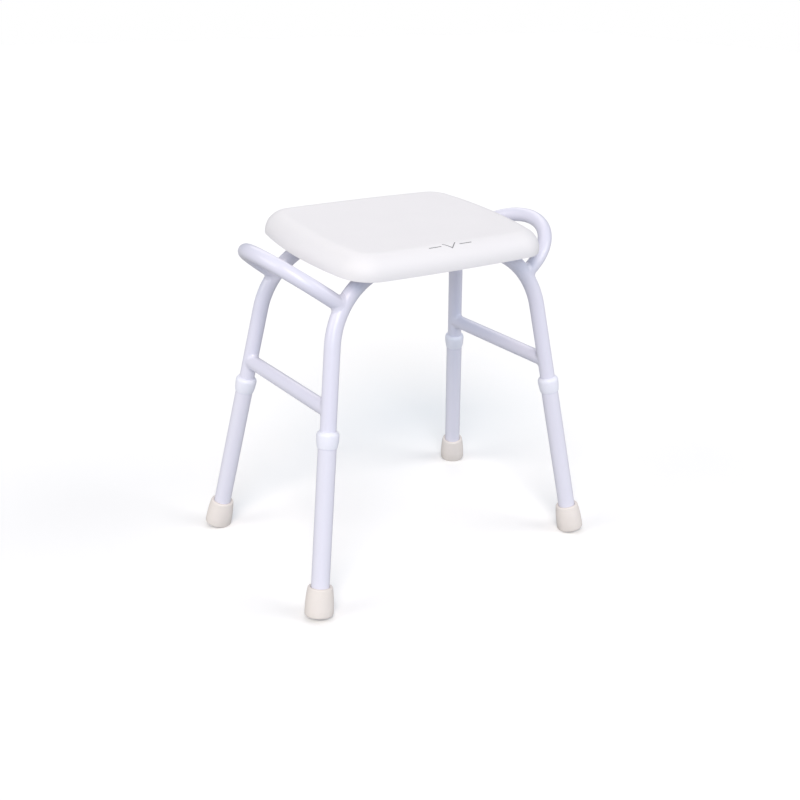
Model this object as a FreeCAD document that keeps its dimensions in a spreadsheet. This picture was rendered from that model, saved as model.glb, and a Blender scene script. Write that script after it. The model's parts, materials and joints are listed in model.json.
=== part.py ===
import FreeCAD, Part
import math
import os
import Sketcher

# ---------------------------------------------------------------- dimensions
# alias, size in millimetres (or plain number), meaning
DIMENSIONS = [
    ("tube_od", 22.2, "outside diameter of the hoops"),
    ("tube_wall", 1.6, "wall of hoops, braces and handles"),
    ("bar_od", 21.0, "outside diameter of braces and handles"),
    ("weld_gap", 0.02, "radial gap left for the weld at a coped tube end"),
    ("foot_x", 232.2, "leg axis from the centre plane at the tip's base, sideways"),
    ("foot_y", 155.3, "leg axis from the centre plane at the tip's base, front to rear"),
    ("splay_side_angle", 8.564, "sideways splay of a leg, degrees"),
    ("splay_front_angle", 8.822, "splay of a hoop's plane to the front or rear, degrees"),
    ("run_height", 455.0, "hoop run centre above the tip bases"),
    ("hoop_bend", 112.0, "centre line radius of the hoop bends"),
    ("tube_end", 44.0, "lower end of an upper tube, along the leg axis"),
    ("brace_height", 276.9, "brace axis above the tip bases"),
    ("handle_drop", 44.6, "handle root below the hoop run"),
    ("handle_tilt", 36.8, "handle plane above the horizontal, degrees"),
    ("handle_reach", 99.9, "handle root to the outside of its centre line"),
    ("handle_half", 90.3, "half the distance between the handle's arms"),
    ("leg_od", 25.4, "outside diameter of a lower leg"),
    ("leg_wall", 1.3, "wall of a lower leg"),
    ("leg_bottom", 8.0, "lower end of a lower leg above its tip's base"),
    ("hole_first", 62.0, "lowest height hole above the tip's base"),
    ("hole_pitch", 25.0, "distance between height holes"),
    ("hole_count", 7, "height holes in each lower leg"),
    ("hole_dia", 7.2, "height hole diameter"),
    ("collar_fit", 0.08, "radial running clearance of a collar on the upper tube"),
    ("leg_fit", 0.05, "radial gap of a collar or tip on the lower leg"),
    ("collar_clear", 16.3, "upper face of a collar below the skin of a brace"),
    ("collar_height", 23.0, "height of a collar"),
    ("collar_head", 5.0, "how far a collar stands above its lower leg"),
    ("collar_widest", 15.5, "largest radius of a collar"),
    ("collar_foot", 13.7, "radius of a collar at its lower edge"),
    ("collar_crown", 6.0, "height of a collar's rounded upper edge"),
    ("collar_crown_in", 3.6, "how far the rounded upper edge comes in"),
    ("tip_top", 40.4, "height of a tip"),
    ("tip_base", 18.6, "radius of a tip's base"),
    ("tip_edge", 2.2, "height of the rounded edge at a tip's base"),
    ("tip_edge_out", 19.9, "radius at the top of the rounded edge"),
    ("tip_edge_round", 2.4, "radius of the rounded edge in section"),
    ("tip_bulge", 190.0, "radius of a tip's bulged side in section"),
    ("tip_neck", 17.5, "radius of a tip below its shoulder"),
    ("tip_shoulder", 2.6, "radius of a tip's shoulder"),
    ("tip_lip", 13.7, "radius of a tip's upper opening edge"),
    ("tip_lead", 1.2, "height of the lead-in at a tip's opening"),
    ("tip_flat", 1.1, "how far a loaded tip's lowest edge is pressed flat"),
    ("floor_beyond", 60.0, "reach of the block that cuts the tips flat, beyond the legs"),
    ("button_dia", 6.4, "snap button diameter"),
    ("button_proud", 2.1, "snap button's reach beyond the lower leg"),
    ("button_travel", 3.7, "snap button's travel"),
    ("button_dome", 1.6, "height of the snap button's domed end"),
    ("button_flange", 8.0, "snap button's flange diameter"),
    ("button_flange_thick", 1.0, "snap button's flange thickness"),
    ("button_flange_face", 8.4, "flange's outer face from the leg axis"),
    ("spring_width", 8.0, "spring strip width"),
    ("spring_thick", 0.7, "spring strip thickness"),
    ("spring_gap", 0.1, "gap between the spring and the button or tube"),
    ("spring_flat", 7.0, "half length of the spring's flat behind the button"),
    ("spring_fold", 40.0, "button axis to the spring's fold"),
    ("spring_fold_radius", 3.0, "outer radius of the spring's fold"),
    ("seat_half_width", 176.0, "seat centre to the middle of its left or right edge"),
    ("seat_half_depth", 139.2, "seat centre to the middle of its front or rear edge"),
    ("seat_side_bow", 19.5, "rise of the bowed left and right edges"),
    ("seat_front_bow", 5.4, "rise of the bowed front and rear edges"),
    ("seat_corner", 47.0, "corner radius of the seat"),
    ("seat_rim", 31.0, "height of the seat from its rim to its top"),
    ("seat_roll", 28.5, "radius of the rolled upper edge"),
    ("seat_wall", 4.0, "wall of the seat shell"),
    ("seat_rise", 35.9, "middle of the seat's top above the middle of the hoop runs"),
    ("seat_slope", 4.1, "forward slope of the seat, degrees"),
    ("seat_forward", 1.1, "middle of the seat ahead of the frame's centre"),
    ("rib_thick", 3.0, "thickness of the ribs under the seat"),
    ("rib_rise", 4.0, "how far the ribs stop above the seat's rim"),
    ("long_rib_count", 4, "ribs that run front to rear"),
    ("rib_pitch_x", 70.0, "distance between the ribs that run front to rear"),
    ("cross_rib_count", 2, "ribs that run side to side"),
    ("rib_pitch_y", 56.0, "distance between the ribs that run side to side"),
    ("saddle_gap", 0.3, "gap between the seat's saddles and the hoops"),
    ("screw_span", 50.0, "seat screw from the centre plane, sideways"),
    ("screw_dia", 5.0, "seat screw diameter"),
    ("screw_fit", 0.05, "radial gap of a screw in its boss"),
    ("screw_clear", 0.3, "radial clearance of a screw in its hole"),
    ("screw_bite", 13.0, "length of a seat screw above the hoop"),
    ("screw_head_dia", 10.0, "seat screw head diameter"),
    ("screw_head", 3.2, "seat screw head height"),
    ("boss_dia", 15.0, "diameter of a screw boss under the seat"),
]

doc = FreeCAD.newDocument("shower_stool")
sheet = doc.addObject("Spreadsheet::Sheet", "Sizes")


class Size:
    """A number together with the sheet expression that gives it."""

    def __init__(self, value, text):
        self.value = value
        self.text = text

    def __add__(self, other):
        other = as_size(other)
        return Size(self.value + other.value, f"({self.text} + {other.text})")

    def __sub__(self, other):
        other = as_size(other)
        return Size(self.value - other.value, f"({self.text} - {other.text})")

    def __mul__(self, other):
        other = as_size(other)
        return Size(self.value * other.value, f"({self.text} * {other.text})")

    def __truediv__(self, other):
        other = as_size(other)
        return Size(self.value / other.value, f"({self.text} / {other.text})")

    def __rtruediv__(self, other):
        return as_size(other) / self

    def __rmul__(self, other):
        return as_size(other) * self

    def __radd__(self, other):
        return as_size(other) + self

    def __neg__(self):
        return as_size(-1) * self


def as_size(number):
    return number if isinstance(number, Size) else Size(float(number), str(float(number)))


def root(number):
    return Size(math.sqrt(number.value), f"sqrt({number.text})")


def tangent(degrees):
    return Size(math.tan(math.radians(degrees.value)), f"tan({degrees.text})")


def angle_of(slope):
    return Size(math.degrees(math.atan(slope.value)), f"atan({slope.text})")


class Sizes:
    """The sheet's aliases as attributes."""


D = Sizes()
for row, (alias, value, meaning) in enumerate(DIMENSIONS, start=1):
    sheet.set(f"A{row}", meaning)
    sheet.set(f"B{row}", str(value))
    sheet.setAlias(f"B{row}", alias)
    setattr(D, alias, Size(float(value), f"Sizes.{alias}"))
doc.recompute()

# ---------------------------------------------------------------- frame geometry
# Each hoop lies in a plane that leans inwards. Inside that plane a leg leans by
# plane_lean for each millimetre along the plane.
tube_radius = D.tube_od / 2
bar_radius = D.bar_od / 2
leg_radius = D.leg_od / 2
lean_x = tangent(D.splay_side_angle)
lean_y = tangent(D.splay_front_angle)
leg_long = root(lean_x * lean_x + lean_y * lean_y + 1)
plane_long = root(lean_y * lean_y + 1)
plane_lean = lean_x / plane_long
lean_long = root(plane_lean * plane_lean + 1)
run_at = D.run_height * plane_long
apex_x = D.foot_x - lean_x * D.run_height
bend_length = D.hoop_bend * (lean_long - plane_lean)
bend_in_x = apex_x - bend_length
bend_out_x = apex_x + bend_length * plane_lean / lean_long
bend_out_z = run_at - bend_length / lean_long
end_x = D.foot_x - D.tube_end * plane_lean / lean_long
end_z = D.tube_end / lean_long
button_x = D.foot_x - D.hole_first * plane_lean / lean_long
button_z = D.hole_first / lean_long

# A handle's root lies on the centre line of a hoop's bend.
handle_height = D.run_height - D.handle_drop
handle_below = D.hoop_bend - D.handle_drop * plane_long
handle_root = bend_in_x + root(D.hoop_bend * D.hoop_bend - handle_below * handle_below)

# The tips stand on their lowest edges, so their base centres are a little above the floor.
leg_tilt_sine = math.sqrt(1 - 1 / leg_long.value ** 2)
base_rise = D.tip_base.value * leg_tilt_sine - D.tip_flat.value
run_y = (D.foot_y - lean_y * D.run_height).value
run_z = D.run_height.value + base_rise
X_AXIS = FreeCAD.Vector(1, 0, 0)
Y_AXIS = FreeCAD.Vector(0, 1, 0)
Z_AXIS = FreeCAD.Vector(0, 0, 1)
CORNERS = [
    ("front_left", -1, -1),
    ("front_right", 1, -1),
    ("rear_left", -1, 1),
    ("rear_right", 1, 1),
]


def hoop_frame(side):
    """Frame of a hoop: X sideways, Z up along its leaning plane. side is -1 at the front."""
    turn = FreeCAD.Rotation(X_AXIS, side * D.splay_front_angle.value)
    return FreeCAD.Placement(FreeCAD.Vector(0, side * D.foot_y.value, base_rise), turn)


def leg_frame(side_x, side_y):
    """Frame of a leg: Z up the leg's axis from its tip's base, Y square to the hoop's plane."""
    up = FreeCAD.Vector(-side_x * lean_x.value, -side_y * lean_y.value, 1)
    up.normalize()
    rear = hoop_frame(side_y).Rotation.multVec(Y_AXIS)
    across = rear.cross(up)
    turn = FreeCAD.Rotation(across, rear, up)
    foot = FreeCAD.Vector(side_x * D.foot_x.value, side_y * D.foot_y.value, base_rise)
    return FreeCAD.Placement(foot, turn)


def seat_frame():
    """Frame of the seat: origin at the middle of its top, Z square to it."""
    middle = FreeCAD.Vector(0, -D.seat_forward.value, run_z + D.seat_rise.value)
    return FreeCAD.Placement(middle, FreeCAD.Rotation(X_AXIS, D.seat_slope.value))


def shifted(frame, x, y, z):
    """A frame moved along its own axes."""
    return frame.multiply(FreeCAD.Placement(FreeCAD.Vector(x, y, z), FreeCAD.Rotation()))


# ---------------------------------------------------------------- helpers
def tie(thing, prop, wanted):
    """Give a property its size and bind it to the sheet."""
    wanted = as_size(wanted)
    setattr(thing, prop, wanted.value)
    if "Sizes." in wanted.text:
        thing.setExpression(prop, wanted.text)


def origin_part(body, role):
    """One of a body's own origin planes or axes."""
    for feature in body.Origin.OriginFeatures:
        if feature.Role == role:
            return feature
    raise ValueError(role)


def new_body(name, frame):
    body = doc.addObject("PartDesign::Body", name)
    body.Label = name
    body.Placement = frame
    return body


def new_sketch(body, role, name, beyond=None):
    """A sketch on one of the body's own planes, or a distance beyond it."""
    sketch = body.newObject("Sketcher::SketchObject", f"{body.Name}_{name}")
    sketch.AttachmentSupport = [(origin_part(body, role), "")]
    sketch.MapMode = "FlatFace"
    if beyond is not None:
        sketch.AttachmentOffset = FreeCAD.Placement(
            FreeCAD.Vector(0, 0, beyond.value), FreeCAD.Rotation()
        )
        sketch.setExpression("AttachmentOffset.Base.z", beyond.text)
    return sketch


def constrain(sketch, kind, places, wanted):
    """Add a measured constraint and bind it to the sheet."""
    wanted = as_size(wanted)
    number = sketch.addConstraint(Sketcher.Constraint(kind, *places, wanted.value))
    if "Sizes." in wanted.text:
        sketch.setExpression(f"Constraints[{number}]", wanted.text)


def pin(sketch, geometry, point, x, y):
    """Hold a sketch point at a place."""
    constrain(sketch, "DistanceX", (-1, 1, geometry, point), x)
    constrain(sketch, "DistanceY", (-1, 1, geometry, point), y)


def arc_between(start, end, radius, bulge):
    """The short arc from start to end. bulge is 1 if it bows to the left of the way there."""
    along = end.sub(start)
    left = FreeCAD.Vector(-along.y, along.x, 0)
    left.normalize()
    middle = start.add(end).multiply(0.5)
    rise = math.sqrt(max(radius ** 2 - (along.Length / 2) ** 2, 0))
    centre = middle.sub(FreeCAD.Vector(left).multiply(bulge * rise))
    first, last = (end, start) if bulge > 0 else (start, end)
    angles = [math.atan2(p.y - centre.y, p.x - centre.x) for p in (first, last)]
    return Part.ArcOfCircle(Part.Circle(centre, Z_AXIS, radius), *angles)


def draw(sketch, points):
    """Draw a closed outline. A point is (x, y), or (x, y, radius, bulge) where an arc leads to it."""
    ends = []
    count = len(points)
    places = [tuple(as_size(v) for v in p[:2]) for p in points]
    flat = [FreeCAD.Vector(x.value, y.value, 0) for x, y in places]
    for i in range(count):
        start, end, point = flat[i - 1], flat[i], points[i]
        if len(point) == 2:
            number = sketch.addGeometry(Part.LineSegment(start, end), False)
            ends.append((number, 1, 2, i))
            continue
        radius, bulge = as_size(point[2]), point[3]
        number = sketch.addGeometry(arc_between(start, end, radius.value, bulge), False)
        ends.append((number, 2, 1, i) if bulge > 0 else (number, 1, 2, i))
        constrain(sketch, "Radius", (number,), radius)
    for before, after in zip(ends, ends[1:] + ends[:1]):
        sketch.addConstraint(
            Sketcher.Constraint("Coincident", before[0], before[2], after[0], after[1])
        )
    for number, _, last, i in ends:
        pin(sketch, number, last, *places[i])


def upright_arc(across, along):
    """Radius of an arc that starts upright and comes in by across over a height."""
    return (across * across + along * along) / (across * 2)


def circle(sketch, x, y, radius):
    x, y, radius = as_size(x), as_size(y), as_size(radius)
    centre = FreeCAD.Vector(x.value, y.value, 0)
    number = sketch.addGeometry(Part.Circle(centre, Z_AXIS, radius.value), False)
    pin(sketch, number, 3, x, y)
    constrain(sketch, "Radius", (number,), radius)


def padded(body, name, profile, length, reverse=False, middle=False):
    """A sketch or flat face pushed out along its normal, against it, or to both sides."""
    pad = body.newObject("PartDesign::Pad", f"{body.Name}_{name}")
    pad.Profile = profile
    tie(pad, "Length", length)
    pad.Reversed = reverse
    pad.Midplane = middle
    doc.recompute()
    return pad


def swung(body, name, sketch, axis, angle):
    """A section turned about one of its sketch's own axes."""
    turn = body.newObject("PartDesign::Revolution", f"{body.Name}_{name}")
    turn.Profile = sketch
    turn.ReferenceAxis = (sketch, [axis])
    tie(turn, "Angle", angle)
    doc.recompute()
    return turn


def turned(name, frame, points, plane="XZ_Plane"):
    """A body turned from a profile about its sketch's upright axis."""
    body = new_body(name, frame)
    sketch = new_sketch(body, plane, "profile")
    draw(sketch, points)
    swung(body, "turn", sketch, "V_Axis", 360)
    return body


def mirrored(body, originals, role):
    """Mirror features in one of the body's own planes."""
    mirror = body.newObject("PartDesign::Mirrored", f"{body.Name}_mirror")
    mirror.Originals = originals
    mirror.MirrorPlane = (origin_part(body, role), [""])
    body.Tip = mirror
    doc.recompute()


def lowest_flat(feature):
    """The name of a feature's flat face that lies lowest in its body."""
    flat = [
        (face.CenterOfMass.z, f"Face{i + 1}")
        for i, face in enumerate(feature.Shape.Faces)
        if isinstance(face.Surface, Part.Plane)
    ]
    return min(flat)[1]


def drilled(body, name, places, radius, depth):
    """Round holes cut from a body's XZ plane towards +Y. It checks that they cut."""
    before = body.Shape.Volume
    sketch = new_sketch(body, "XZ_Plane", name)
    for x, z in places:
        circle(sketch, x, z, radius)
    pocket = body.newObject("PartDesign::Pocket", f"{body.Name}_{name}_cut")
    pocket.Profile = sketch
    tie(pocket, "Length", depth)
    doc.recompute()
    if body.Shape.Volume >= before:
        raise RuntimeError(f"{name} cut nothing from {body.Label}")
    return pocket


def cut(name, base, tool):
    result = doc.addObject("Part::Cut", name)
    result.Base = base
    result.Tool = tool
    result.Label = name
    return result


def group(name, members):
    result = doc.addObject("Part::Compound", name)
    result.Links = members
    result.Label = name
    return result


def rod(name, frame, low, high, radius):
    """A plain cylinder along a frame's Z axis, from low to high."""
    result = doc.addObject("Part::Cylinder", name)
    tie(result, "Radius", radius)
    tie(result, "Height", as_size(high) - low)
    result.Placement = shifted(frame, 0, 0, as_size(low).value)
    return result


sub_parts = []

# ---------------------------------------------------------------- hoops
def hoop(name, side, radii):
    """Half a hoop from the middle of its run round the bend and down the leg, mirrored."""
    body = new_body(name, hoop_frame(side))
    run_section = new_sketch(body, "YZ_Plane", "run_section")
    bend_section = new_sketch(body, "YZ_Plane", "bend_section", bend_in_x)
    for radius in radii:
        circle(run_section, 0, run_at, radius)
        circle(bend_section, 0, run_at, radius)
    axis_z = run_at - D.hoop_bend
    ends = [FreeCAD.Vector(x, axis_z.value, 0) for x in (0, tube_radius.value)]
    axis = bend_section.addGeometry(Part.LineSegment(*ends), True)
    bend_section.addConstraint(Sketcher.Constraint("Horizontal", axis))
    pin(bend_section, axis, 1, 0, axis_z)
    constrain(bend_section, "DistanceX", (axis, 1, axis, 2), tube_radius)
    run = padded(body, "run", run_section, bend_in_x)
    bend = swung(body, "bend", bend_section, "Axis0", angle_of(1 / plane_lean))
    leg_end = (bend, [lowest_flat(bend)])
    leg = padded(body, "leg", leg_end, (run_at - end_z) * lean_long - bend_length)
    mirrored(body, [run, bend, leg], "YZ_Plane")
    return body


hoop_tubes, copes, saddles = [], [], []
for hoop_name, side in (("front_hoop", -1), ("rear_hoop", 1)):
    tube = hoop(f"{hoop_name}_tube", side, (tube_radius, tube_radius - D.tube_wall))
    spots = [(button_x, button_z), (-button_x, button_z)]
    drilled(tube, "button_holes", spots, D.hole_dia / 2, tube_radius + D.tube_wall)
    hoop_tubes.append((hoop_name, tube))
    copes.append(hoop(f"{hoop_name}_cope", side, (tube_radius + D.weld_gap,)))
    saddles.append(hoop(f"{hoop_name}_saddle", side, (tube_radius + D.saddle_gap,)))
cope_group = group("copes", copes)
saddle_group = group("saddles", saddles)

# ---------------------------------------------------------------- seat screws
# They stand square to the seat and go up through the middle of a hoop's run.
screws, screw_holes, pilots, bosses = [], [], [], []
for corner, side_x, side_y in CORNERS:
    spot = FreeCAD.Vector(side_x * D.screw_span.value, side_y * run_y, run_z)
    frame = FreeCAD.Placement(spot, seat_frame().Rotation)
    tip_at = tube_radius + D.screw_bite
    shank = rod(f"{corner}_shank", frame, -tube_radius, tip_at, D.screw_dia / 2)
    head_low = -tube_radius - D.screw_head
    head = rod(f"{corner}_head", frame, head_low, -tube_radius, D.screw_head_dia / 2)
    screw = doc.addObject("Part::Fuse", f"{corner}_screw")
    screw.Base = shank
    screw.Tool = head
    screws.append(screw)
    clear = D.screw_dia / 2 + D.screw_clear
    screw_holes.append(rod(f"{corner}_hole", frame, -D.tube_od, D.tube_od, clear))
    fit = D.screw_dia / 2 + D.screw_fit
    pilots.append(rod(f"{corner}_pilot", frame, 0, tip_at + D.screw_fit, fit))
    bosses.append(rod(f"{corner}_boss", frame, 0, D.seat_rim + D.seat_rim, D.boss_dia / 2))
sub_parts.append(group("seat_screws", screws))
hole_group = group("screw_holes", screw_holes)
for hoop_name, tube in hoop_tubes:
    sub_parts.append(cut(hoop_name, tube, hole_group))


# ---------------------------------------------------------------- seat
def seat_plan(sketch, inset):
    """A rounded rectangle with bowed sides, drawn inset from the seat's edge."""
    width, depth = D.seat_half_width, D.seat_half_depth
    side_bow, front_bow = D.seat_side_bow, D.seat_front_bow
    side_round = (depth * depth + side_bow * side_bow) / (side_bow * 2)
    front_round = (width * width + front_bow * front_bow) / (front_bow * 2)
    inset = as_size(inset)
    corner = D.seat_corner - inset
    side_at = width - side_round
    front_at = depth - front_round
    # centre of the corner arc: both side arcs' centres see it at their radius less the corner's
    reach_1 = side_round.value - D.seat_corner.value
    reach_2 = front_round.value - D.seat_corner.value
    gap_x, gap_y = -side_at.value, front_at.value
    gap = math.hypot(gap_x, gap_y)
    along = (reach_1 ** 2 - reach_2 ** 2 + gap ** 2) / (2 * gap)
    off = math.sqrt(reach_1 ** 2 - along ** 2)
    corner_x = side_at.value + (gap_x * along - gap_y * off) / gap
    corner_y = (gap_y * along + gap_x * off) / gap
    low_angle = math.atan2(corner_y, corner_x - side_at.value)
    high_angle = math.atan2(corner_y - front_at.value, corner_x)
    side_radius = side_round - inset
    front_radius = front_round - inset
    quarter = math.pi / 2
    arcs = []
    for turn in range(4):
        if turn % 2 == 0:
            flip = 1 - turn
            centre, radius = (flip * side_at, as_size(0)), side_radius
            spread = low_angle
        else:
            flip = 2 - turn
            centre, radius = (as_size(0), flip * front_at), front_radius
            spread = quarter - high_angle
        place = FreeCAD.Vector(centre[0].value, centre[1].value, 0)
        span = (turn * quarter - spread, turn * quarter + spread)
        ring = Part.Circle(place, Z_AXIS, radius.value)
        number = sketch.addGeometry(Part.ArcOfCircle(ring, *span), False)
        pin(sketch, number, 3, *centre)
        constrain(sketch, "Radius", (number,), radius)
        arcs.append((number, span))
        sign_x = 1 if turn in (0, 3) else -1
        sign_y = 1 if turn in (0, 1) else -1
        place = FreeCAD.Vector(sign_x * corner_x, sign_y * corner_y, 0)
        if turn % 2 == 0:
            span = (turn * quarter + low_angle, turn * quarter + high_angle)
        else:
            span = (turn * quarter + quarter - high_angle, turn * quarter + quarter - low_angle)
        ring = Part.Circle(place, Z_AXIS, corner.value)
        number = sketch.addGeometry(Part.ArcOfCircle(ring, *span), False)
        constrain(sketch, "Radius", (number,), corner)
        arcs.append((number, span))
    for before, after in zip(arcs, arcs[1:] + arcs[:1]):
        sketch.addConstraint(Sketcher.Constraint("Tangent", before[0], 2, after[0], 1))


def rolled_block(name, inset, height, roll):
    """A block with the seat's outline and a rolled upper edge. Its top is inset below the seat's."""
    body = new_body(name, shifted(seat_frame(), 0, 0, -as_size(inset).value))
    sketch = new_sketch(body, "XY_Plane", "plan")
    seat_plan(sketch, inset)
    pad = padded(body, "block", sketch, height, reverse=True)
    top = [
        f"Edge{i + 1}"
        for i, edge in enumerate(pad.Shape.Edges)
        if edge.BoundBox.ZMin > pad.Shape.BoundBox.ZMin / 2
    ]
    fillet = body.newObject("PartDesign::Fillet", f"{name}_roll")
    fillet.Base = (pad, top)
    tie(fillet, "Radius", roll)
    doc.recompute()
    return body


outer = rolled_block("seat_outer", 0, D.seat_rim, D.seat_roll)
cavity = rolled_block("seat_cavity", D.seat_wall, D.seat_rim, D.seat_roll - D.seat_wall)
ribs = []
rib_low = D.seat_rim.value - D.rib_rise.value


def rib(name, x, y, long_x, long_y):
    result = doc.addObject("Part::Box", name)
    tie(result, "Length", long_x)
    tie(result, "Width", long_y)
    tie(result, "Height", D.seat_rim - D.rib_rise)
    corner_x = x - as_size(long_x).value / 2
    corner_y = y - as_size(long_y).value / 2
    result.Placement = shifted(seat_frame(), corner_x, corner_y, -rib_low)
    ribs.append(result)


def evenly(count, pitch):
    """Places spread evenly about 0."""
    middle = (count.value - 1) / 2
    return [(i - middle) * pitch.value for i in range(int(count.value))]


for number, x in enumerate(evenly(D.long_rib_count, D.rib_pitch_x)):
    rib(f"rib_x{number}", x, 0, D.rib_thick, D.seat_half_depth * 2)
for number, y in enumerate(evenly(D.cross_rib_count, D.rib_pitch_y)):
    rib(f"rib_y{number}", 0, y, D.seat_half_width * 2, D.rib_thick)
filler_group = doc.addObject("Part::MultiFuse", "seat_fillers")
filler_group.Shapes = bosses + ribs
hollow = cut("seat_hollow", cavity, filler_group)
shell = cut("seat_shell", outer, hollow)
saddled = cut("seat_saddled", shell, saddle_group)
sub_parts.append(cut("seat", saddled, group("pilots", pilots)))

# ---------------------------------------------------------------- braces
brace_x = D.foot_x.value - lean_x.value * D.brace_height.value
brace_z = D.brace_height.value + base_rise
for name, side_x in (("left_brace", -1), ("right_brace", 1)):
    spot = FreeCAD.Vector(side_x * brace_x, 0, brace_z)
    body = new_body(f"{name}_tube", FreeCAD.Placement(spot, FreeCAD.Rotation()))
    sketch = new_sketch(body, "XZ_Plane", "section")
    for radius in (bar_radius, bar_radius - D.tube_wall):
        circle(sketch, 0, 0, radius)
    padded(body, "bar", sketch, (D.foot_y - lean_y * D.brace_height) * 2, middle=True)
    sub_parts.append(cut(name, body, cope_group))

# ---------------------------------------------------------------- handles
arm = D.handle_reach - D.handle_half
handle_z = handle_height.value + base_rise
for name, side_x in (("left_handle", -1), ("right_handle", 1)):
    spot = FreeCAD.Vector(side_x * handle_root.value, 0, handle_z)
    turn = FreeCAD.Rotation(Y_AXIS, -D.handle_tilt.value)
    if side_x < 0:
        turn = FreeCAD.Rotation(Z_AXIS, 180).multiply(turn)
    body = new_body(f"{name}_tube", FreeCAD.Placement(spot, turn))
    section = new_sketch(body, "YZ_Plane", "section", arm)
    for radius in (bar_radius, bar_radius - D.tube_wall):
        circle(section, -D.handle_half, 0, radius)
    swung(body, "loop", section, "V_Axis", 180)
    straight = padded(body, "arm", section, arm, reverse=True)
    mirrored(body, [straight], "XZ_Plane")
    sub_parts.append(cut(name, body, cope_group))

# ---------------------------------------------------------------- legs, collars, tips
leg_bore = leg_radius - D.leg_wall
collar_bore = tube_radius + D.collar_fit
sleeve = leg_radius + D.leg_fit

# A raised leg's collar stops below the brace, which crosses the leg's axis.
collar_top = D.brace_height * leg_long - bar_radius - D.collar_clear
collar_bottom = collar_top - D.collar_height
leg_top = collar_top - D.collar_head
LEG_PROFILE = [
    (leg_bore, D.leg_bottom + D.leg_fit),
    (leg_radius, D.leg_bottom + D.leg_fit),
    (leg_radius, leg_top),
    (leg_bore, leg_top),
]
crown_low = collar_top - D.collar_crown
COLLAR_PROFILE = [
    (collar_bore, collar_top),
    (collar_bore, leg_top + D.leg_fit),
    (sleeve, leg_top + D.leg_fit),
    (sleeve, collar_bottom),
    (D.collar_foot, collar_bottom),
    (
        D.collar_widest,
        crown_low,
        upright_arc(D.collar_widest - D.collar_foot, crown_low - collar_bottom),
        -1,
    ),
    (
        D.collar_widest - D.collar_crown_in,
        collar_top,
        upright_arc(D.collar_crown_in, D.collar_crown),
        -1,
    ),
]
TIP_PROFILE = [
    (0, 0),
    (D.tip_base, 0),
    (D.tip_edge_out, D.tip_edge, D.tip_edge_round, -1),
    (D.tip_neck, D.tip_top - D.tip_shoulder, D.tip_bulge, -1),
    (D.tip_neck - D.tip_shoulder, D.tip_top, D.tip_shoulder, -1),
    (D.tip_lip, D.tip_top),
    (sleeve, D.tip_top - D.tip_lead),
    (sleeve, D.leg_bottom),
    (0, D.leg_bottom),
]
floor = doc.addObject("Part::Box", "floor_block")
floor_x = D.foot_x + D.floor_beyond
floor_y = D.foot_y + D.floor_beyond
tie(floor, "Length", floor_x * 2)
tie(floor, "Width", floor_y * 2)
tie(floor, "Height", D.tip_top)
floor_corner = FreeCAD.Vector(-floor_x.value, -floor_y.value, -D.tip_top.value)
floor.Placement = FreeCAD.Placement(floor_corner, FreeCAD.Rotation())

# ---------------------------------------------------------------- snap buttons and springs
button_radius = D.button_dia / 2
button_end = leg_radius + D.button_proud
flange_low = D.button_flange_face - D.button_flange_thick
dome = upright_arc(D.button_dome, button_radius)
BUTTON_PROFILE = [
    (0, flange_low),
    (D.button_flange / 2, flange_low),
    (D.button_flange / 2, D.button_flange_face),
    (button_radius, D.button_flange_face),
    (button_radius, button_end - D.button_dome),
    (0, button_end, dome, -1),
]
half_strip = D.spring_width / 2
bore = tube_radius - D.tube_wall
near = flange_low - D.spring_gap
far = root(bore * bore - half_strip * half_strip) - D.spring_gap
thick = D.spring_thick
fold_out = D.spring_fold_radius
fold_in = fold_out - thick
SPRING_PROFILE = [
    (near, -D.spring_flat),
    (near, D.spring_flat),
    (fold_out, D.spring_fold),
    (0, D.spring_fold + fold_out, fold_out, -1),
    (-fold_out, D.spring_fold, fold_out, -1),
    (-far, D.spring_flat),
    (-far, -D.spring_flat),
    (thick - far, -D.spring_flat),
    (thick - far, D.spring_flat),
    (-fold_in, D.spring_fold),
    (0, D.spring_fold + fold_in, fold_in, 1),
    (fold_in, D.spring_fold, fold_in, 1),
    (near - thick, D.spring_flat),
    (near - thick, -D.spring_flat),
]
for corner, side_x, side_y in CORNERS:
    frame = leg_frame(side_x, side_y)
    leg = turned(f"{corner}_leg", frame, LEG_PROFILE)
    pocket = drilled(leg, "height_hole", [(0, D.hole_first)], D.hole_dia / 2, leg_radius + D.leg_wall)
    pattern = leg.newObject("PartDesign::LinearPattern", f"{corner}_height_holes")
    pattern.Originals = [pocket]
    pattern.Direction = (origin_part(leg, "Z_Axis"), [""])
    tie(pattern, "Length", D.hole_pitch * (D.hole_count - 1))
    pattern.Occurrences = int(D.hole_count.value)
    leg.Tip = pattern
    sub_parts.append(leg)
    sub_parts.append(turned(f"{corner}_collar", frame, COLLAR_PROFILE))
    tip = turned(f"{corner}_ferrule", frame, TIP_PROFILE)
    sub_parts.append(cut(f"{corner}_tip", tip, floor))
    button_frame = shifted(frame, 0, 0, D.hole_first.value)
    sub_parts.append(turned(f"{corner}_button", button_frame, BUTTON_PROFILE, "XY_Plane"))
    spring = new_body(f"{corner}_spring", button_frame)
    sketch = new_sketch(spring, "YZ_Plane", "profile")
    draw(sketch, SPRING_PROFILE)
    padded(spring, "strip", sketch, D.spring_width, middle=True)
    sub_parts.append(spring)

# ---------------------------------------------------------------- checks and files
doc.recompute()
faults = []
for thing in doc.Objects:
    if "Invalid" in thing.State or "Error" in thing.State:
        faults.append(f"{thing.Name}: {thing.State}")
for part in sub_parts:
    if part.Shape.isNull() or not part.Shape.isValid():
        faults.append(f"{part.Label}: bad shape")
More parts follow.
